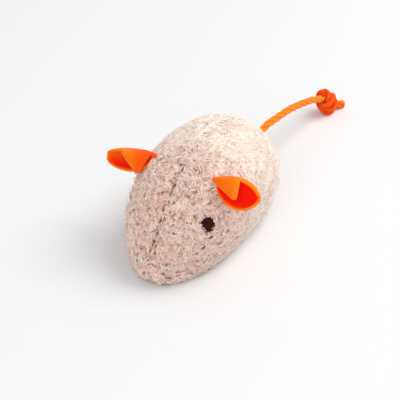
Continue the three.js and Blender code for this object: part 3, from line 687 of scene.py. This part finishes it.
# Locks of strands that lie close together and curl alike
def pile(name, points, normals, density, height, bands, side=0, cloth_shading=CLOTH_SHADING):
    roots, up = scatter(points, normals, density)
    locks = len(roots)
    smooth = combed_and_lit(roots[:, 1])
    heading = np.where(rng.random(locks) < smooth, math.pi / 2 + rng.normal(0, COMBED_PLAY, locks),
                       rng.uniform(0, 2 * math.pi, locks))
    curl = rng.uniform(*LOCK_CURL, locks) * rng.choice([-1, 1], locks) * lerp(1.0, COMBED_CURL, smooth)
    swing = rng.uniform(*LOCK_SWING, locks) * lerp(1.0, COMBED_SWING, smooth)
    wave = np.stack([swing, rng.uniform(*LOCK_CYCLES, locks), rng.random(locks)], 1)
    length = rng.uniform(*LOCK_LENGTH, locks) * lerp(1.0, COMBED_LENGTH, smooth)
    tall = rng.uniform(*LOCK_HEIGHT, locks) * height * lerp(1.0, COMBED_HEIGHT, smooth)
    # Lighter locks stand taller: partly random tone, partly painted highlight, with painted shade on
    # the lower, darker locks.
    light = rng.random(locks) < LIGHT_SHARE
    tall *= np.where(light, LIGHT_HEIGHT, DARK_HEIGHT)
    curled_tone = np.where(light, LIGHT_TONE, DARK_TONE) + TONE_PLAY * rng.random(locks)
    # Painted light: the combed pile over the back takes a lighter tone.
    back_lit_tone = BACK_LIT_TONE + COMBED_TONE_PLAY * rng.random(locks)
    tone = lerp(curled_tone, back_lit_tone, smooth)

    many = np.repeat(np.arange(locks), STRANDS_PER_LOCK)
    count = len(many)
    first, second = tangents(up)
    spread = rng.normal(0, 1, (count, 2)) * lerp(*STRAND_SPREAD, smooth)[many, None]
    root = roots[many] + first[many] * spread[:, :1] + second[many] * spread[:, 1:]
    root -= up[many] * BACKING_DEPTH
    loose = rng.random(count) < LOOSE_SHARE
    strand_heading = heading[many] + rng.normal(0, STRAND_HEADING, count)
    strand_curl = curl[many] * rng.uniform(*STRAND_CURL, count)
    strand_length = length[many] * rng.uniform(*STRAND_LENGTH, count)
    strand_height = (tall[many] * np.where(loose, LOOSE_HEIGHT, 1.0)
                     * rng.uniform(*STRAND_HEIGHT, count))
    centre = curls(root, up[many], strand_heading, strand_curl, wave[many], strand_length,
                   strand_height)
    if side:
        share, reach = SEAM_CROSSED
        play = rng.normal(0, SEAM_PLAY, count) - np.where(rng.random(count) < share, reach, 0.0)
        centre = kept_off_seam(centre, side, play)
    thickness = STRAND * rng.uniform(*STRAND_THICKNESS, count) * np.where(loose, LOOSE_THICKNESS, 1.0)
    shade = np.clip(tone[many] + rng.normal(0, STRAND_TONE, count), 0, 1)
    order = np.argsort(centre[:, 0, 1], kind="stable")
    order = order[~near_eye(centre)[order]]
    for band, chosen in enumerate(np.array_split(order, bands)):
        strand_mesh(f"{name}_{band + 1}", centre[chosen], up[many][chosen], thickness[chosen],
                    shade[chosen], cloth_shading)


def seam_shade_values(points):
    flat = points.reshape(-1, 3)
    seam_shade = np.exp(-((flat[:, 0] / SEAM_SHADE_WIDTH) ** 2)) * (flat[:, 2] > level(flat[:, 1]))
    return np.concatenate([seam_shade, np.zeros(len(flat))])


def dress_body():
    points, normals = side_grid(SEAM_LEVEL)
    pile_points, pile_normals = side_grid(PILE_LEVEL)
    for name, side in (("left", 1), ("right", -1)):
        outer = mirror_x(points - normals * BACKING_DEPTH, side)
        inner = mirror_x(points - normals * (BACKING_DEPTH + BACKING), side)
        grids = (outer, inner) if side > 0 else (outer[:, ::-1], inner[:, ::-1])
        backing = shell(f"{name}_panel", *grids, BACKING_CLOTH)
        add_values(backing, "seam", seam_shade_values(grids[0]))
        add_values(backing, "combed_and_lit", combed_and_lit(np.concatenate([g[..., 1].ravel() for g in grids])))
        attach(backing, "body")
        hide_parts(f"{name}_body_panel")
        pile(f"{name}_pile", mirror_x(pile_points, side), mirror_x(pile_normals, side), LOCKS_PER_MM2,
             PILE_HEIGHT, PILE_BANDS, side)


def dress_base():
    y = -BODY_LENGTH / 2 * np.cos(np.linspace(BASE_INSET, math.pi - BASE_INSET, BASE_ROWS))
    share = np.linspace(-1, 1, BASE_COLUMNS)[None, :]
    reach = half_width(y)[:, None] * FOOTPRINT * BASE_REACH
    height = floor_height(y)[:, None] + BASE_RISE * np.abs(share) ** BASE_ROUNDNESS
    points = np.stack([reach * share, np.repeat(y[:, None], BASE_COLUMNS, 1), height], -1)
    along_y, across = np.gradient(points, axis=0), np.gradient(points, axis=1)
    normals = unit(np.cross(along_y, across))
    lifted = points - normals * BASE_DEPTH
    base = shell("base", lifted, lifted - normals * BACKING, BACKING_CLOTH)
    add_values(base, "seam", np.zeros(len(base.data.vertices)))
    add_values(base, "combed_and_lit", np.tile(combed_and_lit(points[..., 1]).ravel(), 2))
    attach(base, "body")
    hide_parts("base_panel")
    pile("base_pile", points, normals, LOCKS_PER_MM2 * BASE_DENSITY, BASE_PILE_HEIGHT, BASE_BANDS,
         cloth_shading=0.0)


# Ears
def bezier(a, b, c, d, t):
    t = t[:, None]
    return (1 - t) ** 3 * a + 3 * t * (1 - t) ** 2 * b + 3 * t ** 2 * (1 - t) * c + t ** 3 * d


# Grid of the felt from the sewn edge to its tip, the middle of the seam and the way out of the body
def ear_grid(ear):
    place = side_point(DART_Y, EAR_ANGLE, EAR_STANDOFF)
    inner, outer = (side_point(ear["seam_y"], angle, ear["stand"]) for angle in ear["seam"])
    tip = place + np.array(ear["tip"])
    top_curve = (inner, *(place + np.array(h) for h in ear["top"]), tip)
    low_curve = (outer, *(place + np.array(h) for h in ear["low"]), tip)
    flap_at = ear["flap_at"]
    t = ear["end"] * np.sin(np.linspace(0, math.pi / 2, EAR_ROWS))
    t = np.sort(np.concatenate([t, np.linspace(flap_at[1], flap_at[3], FLAP_ROWS)]))
    upper, lower = bezier(*top_curve, t), bezier(*low_curve, t)
    s = 0.5 - 0.5 * np.cos(np.linspace(0, math.pi, EAR_COLUMNS))
    depth = ear["cup"] * np.sin(math.pi * np.minimum(1, t / ear["end"]) ** CUP_PEAK) ** CUP_ALONG
    bowl = depth[:, None] * (4 * s * (1 - s))[None, :] ** CUP_ACROSS
    wall = lerp(lower[:, None], upper[:, None], s[None, :, None]) + bowl[..., None] * EAR_BACK

    fold = bezier(*top_curve, np.array([flap_at[0], flap_at[3]])) + EAR_LIP
    corners = np.array([fold[0], *(place + np.array(c) for c in ear["flap_tip"]), fold[1]])
    edge = np.stack([np.interp(t, flap_at, corners[:, i]) for i in range(3)], 1)
    folded = (t >= flap_at[0]) & (t <= flap_at[3])
    edge = np.where(folded[:, None], edge, upper + EAR_LIP)
    w = np.linspace(0, 1, FLAP_COLUMNS + 1)[None, 1:, None]
    reach = np.minimum(1, np.linalg.norm(edge - upper, axis=1) / FOLD_REACH)[:, None]
    over = upper + reach * EAR_FOLD
    flap = (1 - w) ** 2 * upper[:, None] + 2 * w * (1 - w) * over[:, None] + w ** 2 * edge[:, None]
    rows = np.concatenate([wall, flap], 1)
    outwards = unit(side_normal(np.array(DART_Y), np.array(EAR_ANGLE)) * np.array([1, 0, 1]))
    tab = np.stack([rows[0] - unit(outwards + EAR_TAB_LEAN) * sewn_in for sewn_in in EAR_TAB])
    return np.concatenate([tab, rows]), (inner + outer) / 2, outwards


# Painted shade: light that comes back from felt to felt turns redder, so the felt is painted deeper red
# inside the cup, and near the seam on its other face.
def painted_felt_shade_values(grid, side, lit, red):
    rows, columns = grid.shape[:2]
    along_ear = np.clip((np.arange(rows) - len(EAR_TAB)) / (rows - len(EAR_TAB)), 0, 1)[:, None]
    last = EAR_COLUMNS - 1
    before_fold, at_fold = RED_FOLD
    in_cup = np.interp(np.arange(columns), [0, 1, 2, last - before_fold, last], [*RED_RIM, 1, at_fold])
    upper = smoothstep(np.arange(columns) / last, *UPPER_WALL)[None, :]
    towards_tip = smoothstep(along_ear, *TOWARDS_TIP)
    less_lit = 1 - lit * np.maximum(upper, towards_tip)
    cup_shade = in_cup[None, :] * less_lit * (1 - smoothstep(along_ear, *AT_TIP))
    seam_side_shade = np.repeat(red * (1 - smoothstep(along_ear, *NEAR_SEAM)), columns, 1)
    faces = (cup_shade, seam_side_shade) if side > 0 else (seam_side_shade, cup_shade)
    return np.concatenate([f.ravel() for f in faces])


def make_ear(name, ear):
    grid, base, outwards = ear_grid(ear)
    grid = mirror_x(grid, ear["side"])
    down, over = np.gradient(grid, axis=0), np.gradient(grid, axis=1)
    normal = unit(np.cross(down, over)) * FELT / 2
    piece = shell(name + "_felt", grid + normal, grid - normal, FELT_CLOTH)
    add_values(piece, "painted_felt_shade", painted_felt_shade_values(grid, ear["side"], ear["lit"], ear["red"]))
    smooth = piece.modifiers.new("rounded", "SUBSURF")
    smooth.levels = smooth.render_levels = 1
    base = mirror_x(base, ear["side"]) * MM
    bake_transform(piece)
    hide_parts(name, name + "_tab")


# Eyes
def eye_place(side, y, angle, depth):
    return (mirror_x(side_point(y, angle, -depth), side),
            mirror_x(side_normal(np.array(y), np.array(angle)), side))


def make_eye(name, side, y, angle, depth):
    middle, normal = eye_place(side, y, angle, depth)
    first, second = (v[0] for v in tangents(normal[None]))
    radius = EYE_WIDTH / 2
    around = np.linspace(0, 2 * math.pi, STITCH_SIDES + 1)[:-1]
    t = np.linspace(-1, 1, STITCH_STEPS)
    points, faces = [], []
    for row in range(STITCHES):
        place = lerp(-STITCH_REACH, STITCH_REACH, row / (STITCHES - 1)) * radius
        full = (radius ** EYE_ROUNDNESS - abs(place) ** EYE_ROUNDNESS) ** (1 / EYE_ROUNDNESS)
        half = full * rng.uniform(*STITCH_LENGTHS)
        crown = EYE_CROWN * (1 - (t * half / radius) ** 2 - (place / radius) ** 2) - EYE_SUNK
        centre = middle + first * place + second * (t * half)[:, None] + normal * crown[:, None]
        out = unit(np.cross(unit(np.gradient(centre, axis=0)), first[None]))
        rings = centre[:, None] + STITCH * (np.cos(around)[None, :, None] * first[None, None]
                                            + np.sin(around)[None, :, None] * out[:, None])
        made, made_faces = tube_mesh(rings)
        start = sum(len(p) for p in points)
        points.append(made)
        faces += [[i + start for i in f] for f in made_faces]
    piece = mesh_piece(name + "_stitches", np.vstack(points), faces, EYE_THREAD)
    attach(piece, "body")
    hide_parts(name)


# Rope
# Centripetal Catmull-Rom curve through the points
def spline(points):
    points = np.asarray(points, float)
    before, after = 2 * points[0] - points[1], 2 * points[-1] - points[-2]
    padded = np.vstack([before, points, after])
    made = []
    for i in range(1, len(padded) - 2):
        p = padded[i - 1:i + 3]
        gaps = np.maximum(np.linalg.norm(np.diff(p, axis=0), axis=1) ** 0.5, 1e-6)
        t0, t1, t2, t3 = np.concatenate([[0], np.cumsum(gaps)])
        t = np.linspace(t1, t2, CURVE_STEPS, endpoint=False)[:, None]
        a1 = (t1 - t) / (t1 - t0) * p[0] + (t - t0) / (t1 - t0) * p[1]
        a2 = (t2 - t) / (t2 - t1) * p[1] + (t - t1) / (t2 - t1) * p[2]
        a3 = (t3 - t) / (t3 - t2) * p[2] + (t - t2) / (t3 - t2) * p[3]
        b1 = (t2 - t) / (t2 - t0) * a1 + (t - t0) / (t2 - t0) * a2
        b2 = (t3 - t) / (t3 - t1) * a2 + (t - t1) / (t3 - t1) * a3
        made.append((t2 - t) / (t2 - t1) * b1 + (t - t1) / (t2 - t1) * b2)
    return np.vstack(made + [points[-1:]])


def evenly(points, spacing):
    reach = np.concatenate([[0], np.cumsum(np.linalg.norm(np.diff(points, axis=0), axis=1))])
    places = np.linspace(0, reach[-1], max(2, int(round(reach[-1] / spacing)) + 1))
    return np.stack([np.interp(places, reach, points[:, i]) for i in range(3)], 1), places


# Two directions across a curve that turn with it as little as they can
def carried_frames(points, start):
    aim = unit(np.gradient(points, axis=0))
    across = [unit(start - aim[0] * (start @ aim[0]))]
    for i in range(1, len(points)):
        v = across[-1] - aim[i] * (across[-1] @ aim[i])
        across.append(unit(v))
    across = np.array(across)
    return across, np.cross(aim, across)


# Three strands laid together, as one closed skin, with painted shade in its grooves and in places along
# it, and open at its end. Three strands laid together, as one closed skin, which may be tight in places
# and open at its end
def rope_piece(name, line, radius, phase_at=0.0, knot_shade=(0.0,), flare=0.0):
    points, places = evenly(line, ROPE_STEP)
    across, up = carried_frames(points, np.array([1.0, 0.0, 0.0]))
    around = np.linspace(0, 2 * math.pi, ROPE_SIDES, endpoint=False)
    lobe = (around * LOBES / (2 * math.pi) % 1.0) * 2 * math.pi / LOBES - math.pi / LOBES
    centre = 1 - LOBE
    reach = centre * np.cos(lobe) + np.sqrt(LOBE ** 2 - (centre * np.sin(lobe)) ** 2)
    depth = (1 - reach) / (1 - reach.min())
    turn = around[None, :] + 2 * math.pi * (places[:, None] + phase_at) / ROPE_PITCH
    opened = 1 + flare * smoothstep(places, places[-1] - FLARE_LENGTH, places[-1])
    size = radius * opened[:, None] * reach[None, :]
    rings = (points[:, None] + across[:, None] * (size * np.cos(turn))[..., None]
             + up[:, None] * (size * np.sin(turn))[..., None])
    rings[..., 2] = np.maximum(rings[..., 2], FLOOR_GAP)
    made, faces = tube_mesh(rings)
    piece = mesh_piece(name, made, faces, ROPE_YARN)
    yarn = lobe[None, :] * YARNS - places[:, None] * YARN_TURN
    add_values(piece, "groove_shade", np.concatenate([np.broadcast_to(depth, turn.shape).ravel(), [0, 0]]))
    add_values(piece, "yarn", np.concatenate([yarn.ravel(), [0, 0]]))
    shade_along = np.interp(places, np.linspace(0, places[-1], len(knot_shade)), knot_shade)
    add_values(piece, "knot_shade", np.concatenate([np.repeat(shade_along, ROPE_SIDES), shade_along[[0, -1]]]))
    return piece, points


def cut(line, low, high):
    points, places = evenly(line, CUT_STEP)
    return points[(places >= low) & (places <= high)]


# The knot and the short end past it, after a route that ends in the direction aim
def knot_line(route_end, aim):
    tilt = unit(KNOT_TILT - aim * (KNOT_TILT @ aim))
    basis = np.stack([aim, tilt, np.cross(aim, tilt)])
    far = KNOT_HALF[:0:-1] * np.array([-1, -1, 1])
    points = np.vstack([far, KNOT_HALF]) * KNOT_PULL @ basis * KNOT_SPACING
    points += route_end + aim * KNOT_GAP - points[0]
    start, out = points[-1], unit(points[-1] - points[-2])
    end = start + out * STUB + STUB_BEND
    t = np.linspace(0, 1, STUB_STEPS)[1:, None]
    stub = (1 - t) ** 2 * start + 2 * t * (1 - t) * (start + out * STUB / 4) + t ** 2 * end
    return np.vstack([spline(points), stub])


def make_tail():
    route = spline(TAIL_ROUTE)
    aim = unit(route[1] - route[0])
    sunk = TAIL_EXIT - aim * np.linspace(ROPE_SUNK, CUT_STEP, CURVE_STEPS)[:, None]
    whole = np.vstack([sunk, route])
    root_line = cut(whole, 0, ROPE_SUNK + ROOT_REACH)
    root, _ = rope_piece("tail_root_rope", root_line, ROPE / 2)
    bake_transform(root)
    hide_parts("tail_anchor", "tail_root")

    free_line = cut(whole, ROPE_SUNK + ROOT_REACH - CUT_STEP, math.inf)
    rope, path = rope_piece("tail_rope", free_line, ROPE / 2, ROPE_SUNK + ROOT_REACH)
    knotted = knot_line(route[-1], unit(free_line[-1] - free_line[-4]))
    knot, _ = rope_piece("tail_knot_rope", knotted, KNOT_ROPE / 2, ROPE_SUNK + KNOT_LAY,
                         knot_shade=KNOT_SHADE, flare=STUB_FLARE)
    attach(knot, "tail")
    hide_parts("tail_knot", "tail_tip")
    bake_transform(rope)
    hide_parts("tail_cord")


# Inner pieces
def lumps(points, size):
    x, y, z = (points / size).T
    return 0.5 + 0.25 * (np.sin(x + 1.7 * np.sin(y)) + np.sin(1.3 * y + 1.7 * np.sin(z)))


def make_filling():
    filling = bpy.data.objects.new("loose_fibre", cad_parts["fibre_filling"].data.copy())
    bpy.context.scene.collection.objects.link(filling)
    even = filling.modifiers.new("even", "REMESH")
    even.mode = "VOXEL"
    even.voxel_size = FIBRE_VOXEL * MM
    even.use_smooth_shade = True
    graph = bpy.context.evaluated_depsgraph_get()
    mesh = bpy.data.meshes.new_from_object(filling.evaluated_get(graph))
    filling.modifiers.clear()
    filling.data = mesh
    points = np.array([v.co for v in mesh.vertices])
    normals = np.array([v.normal for v in mesh.vertices])
    sunk = points - normals * lumps(points, FIBRE_LUMP * MM)[:, None] * FIBRE_SUNK * MM
    mesh.vertices.foreach_set("co", sunk.ravel())
    mesh.materials.clear()
    mesh.materials.append(FIBRE)
    mesh.update()
    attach(filling, "body")
    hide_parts("fibre_filling")


def make_pouch():
    low, high = (np.array(corner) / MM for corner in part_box("catnip_pouch"))
    lift = np.radians(np.linspace(-POUCH_END, POUCH_END, POUCH_ROWS))[:, None]
    turn = np.linspace(0, 2 * math.pi, POUCH_COLUMNS, endpoint=False)[None, :]

    def plump(value):
        return np.sign(value) * np.abs(value) ** POUCH_ROUNDNESS

    wide = plump(np.cos(lift))
    form = np.stack([wide * plump(np.cos(turn)), wide * plump(np.sin(turn)),
                     plump(np.sin(lift)) * np.ones_like(turn)], -1)
    inner = form * (high - low) / 2
    rim = np.exp(-((lift / POUCH_RIM) ** 2))
    leaf = lumps(inner.reshape(-1, 3), LEAF_LUMP).reshape(POUCH_ROWS, -1)
    filled = lerp(POUCH_FILL, 1.0, rim) - POUCH_LEAF * leaf * (1 - rim)
    rings = inner * filled[..., None] + (low + high) / 2
    pouch = mesh_piece("catnip_bag", *tube_mesh(rings), POUCH_CLOTH)
    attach(pouch, "body")
    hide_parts("catnip_pouch")


def dress_threads():
    for name in ("top_seam_thread", "base_seam_thread", "left_dart_thread", "right_dart_thread"):
        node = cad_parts[name]
        node.data.materials.clear()
        node.data.materials.append(SEWING_THREAD)


# Stage
def make_floor():
    look = Look("floor", roughness=0.6, specular=0.2)
    look.shader.inputs["Base Color"].default_value = FLOOR_COLOUR
    corners = [[x * FLOOR_REACH, y * FLOOR_REACH, 0] for x, y in ((-1, -1), (1, -1), (1, 1), (-1, 1))]
    floor = mesh_piece("floor", corners, [[0, 1, 2, 3]], look.material)


# One light for what the world lights, and a plain backdrop for what is seen of it
def make_world():
    world = bpy.data.worlds.new("studio")
    bpy.context.scene.world = world
    world.use_nodes = True
    nodes, links = world.node_tree.nodes, world.node_tree.links
    light = nodes["Background"]
    light.inputs["Color"].default_value = WORLD_COLOUR
    light.inputs["Strength"].default_value = WORLD_STRENGTH
    backdrop = nodes.new("ShaderNodeBackground")
    backdrop.inputs["Color"].default_value = BACKDROP_COLOUR
    rays = nodes.new("ShaderNodeLightPath")
    seen = rays.outputs["Is Camera Ray"]
    for kind in ("Is Glossy Ray", "Is Transmission Ray"):
        either = nodes.new("ShaderNodeMath")
        either.operation = "MAXIMUM"
        links.new(seen, either.inputs[0])
        links.new(rays.outputs[kind], either.inputs[1])
        seen = either.outputs[0]
    choice = nodes.new("ShaderNodeMixShader")
    links.new(seen, choice.inputs[0])
    links.new(light.outputs[0], choice.inputs[1])
    links.new(backdrop.outputs[0], choice.inputs[2])
    links.new(choice.outputs[0], nodes["World Output"].inputs["Surface"])


def make_lamp(name, size, place, power, colour):
    lamp = bpy.data.lights.new(name, "AREA")
    lamp.shape = "DISK"
    lamp.size = size
    lamp.energy = power
    lamp.color = colour
    lamp_object = bpy.data.objects.new(name, lamp)
    lamp_object.location = place
    lamp_object.rotation_mode = "QUATERNION"
    lamp_object.rotation_quaternion = (Vector(LAMP_AIM) - Vector(place)).to_track_quat("-Z", "Y")
    bpy.context.scene.collection.objects.link(lamp_object)


def make_camera():
    aim = Vector(CAMERA_AIM) * MM
    azimuth, elevation = math.radians(CAMERA_AZIMUTH), math.radians(CAMERA_ELEVATION)
    back = Vector((math.sin(azimuth) * math.cos(elevation), -math.cos(azimuth) * math.cos(elevation),
                   math.sin(elevation)))
    camera = bpy.data.cameras.new("camera")
    camera.sensor_width = CAMERA_SENSOR
    camera.lens = CAMERA_LENS
    camera.clip_start = CAMERA_NEAR
    camera_object = bpy.data.objects.new("camera", camera)
    camera_object.location = aim + back * CAMERA_DISTANCE
    camera_object.rotation_mode = "QUATERNION"
    camera_object.rotation_quaternion = (-back).to_track_quat("-Z", "Y")
    bpy.context.scene.collection.objects.link(camera_object)
    bpy.context.scene.camera = camera_object


make_camera()
make_tail()
make_floor()
make_world()
for lamp_name, lamp_values in LAMPS.items():
    make_lamp(lamp_name, *lamp_values)
dress_body()
dress_base()
for ear_name, ear_shape in EARS.items():
    make_ear(ear_name, ear_shape)
for eye_name, eye_spot in EYES.items():
    make_eye(eye_name, *eye_spot)
make_filling()
make_pouch()
dress_threads()
bpy.context.scene.view_settings.view_transform = "Standard"
